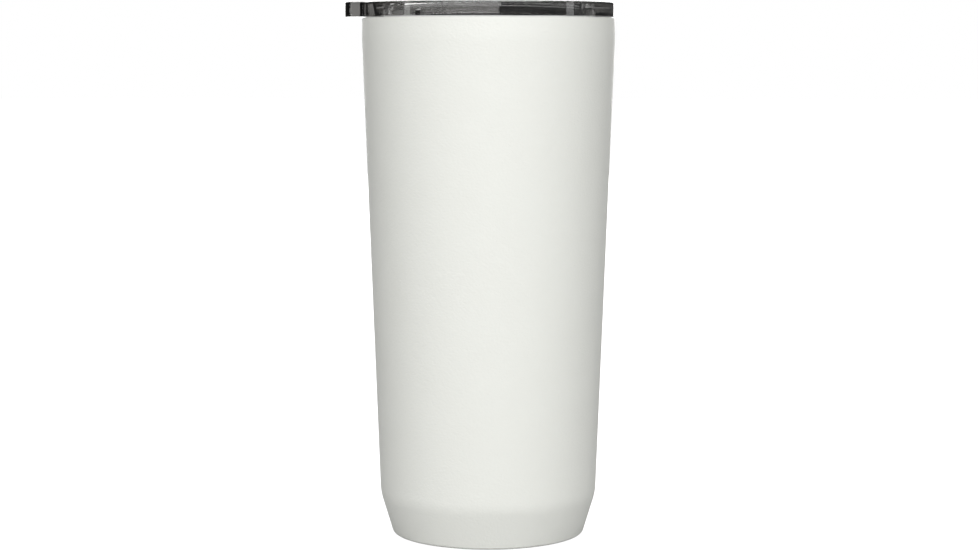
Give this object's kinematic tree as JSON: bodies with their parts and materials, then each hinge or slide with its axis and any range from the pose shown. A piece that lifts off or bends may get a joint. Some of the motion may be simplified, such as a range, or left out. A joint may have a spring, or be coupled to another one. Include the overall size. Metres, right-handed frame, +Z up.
{
  "type": "insulated tumbler",
  "caption": "Insulated steel tumbler: tapered white double wall, short base taper, clear smoke press-in lid with thumb tab and sliding cover over a sip and a straw opening.",
  "frame": {"origin": "on the tumbler's axis, at the underside of the base pad", "axes": "+Z up along the axis, -X towards the lid's thumb tab, +X towards the sip opening"},
  "size_m": [0.0924, 0.087, 0.1845],
  "materials": {
    "white_powder_coat": "satin",
    "liner_steel": "satin",
    "inner_steel": "satin",
    "heat_foil": "gloss",
    "getter": "matte",
    "seal_glass": "gloss",
    "base_silicone": "matte",
    "smoke_plastic": "polished",
    "gasket_silicone": "matte",
    "slider_plastic": "satin",
    "seal_silicone": "matte"
  },
  "bodies": {
    "cup": {"outer_shell": "white_powder_coat", "inner_liner": "liner_steel", "liner_bottom": "liner_steel", "reflective_foil": "heat_foil", "vacuum_plate": "inner_steel", "vacuum_seal": "seal_glass", "getter_pellet": "getter", "getter_clip": "inner_steel", "base_cover": "inner_steel", "base_pad": "base_silicone"},
    "lid": {"lid_body": "smoke_plastic", "lid_gasket": "gasket_silicone"},
    "slider": {"slider": "slider_plastic", "slider_seal": "seal_silicone"}
  },
  "joints": [
    {"name": "lid_lift", "type": "slide", "parent": "cup", "child": "lid", "axis": [0, 0, 1], "range_m": [0, 0.05]},
    {"name": "slider_run", "type": "slide", "parent": "lid", "child": "slider", "axis": [-1, 0, 0], "range_m": [0, 0.026]}
  ]
}
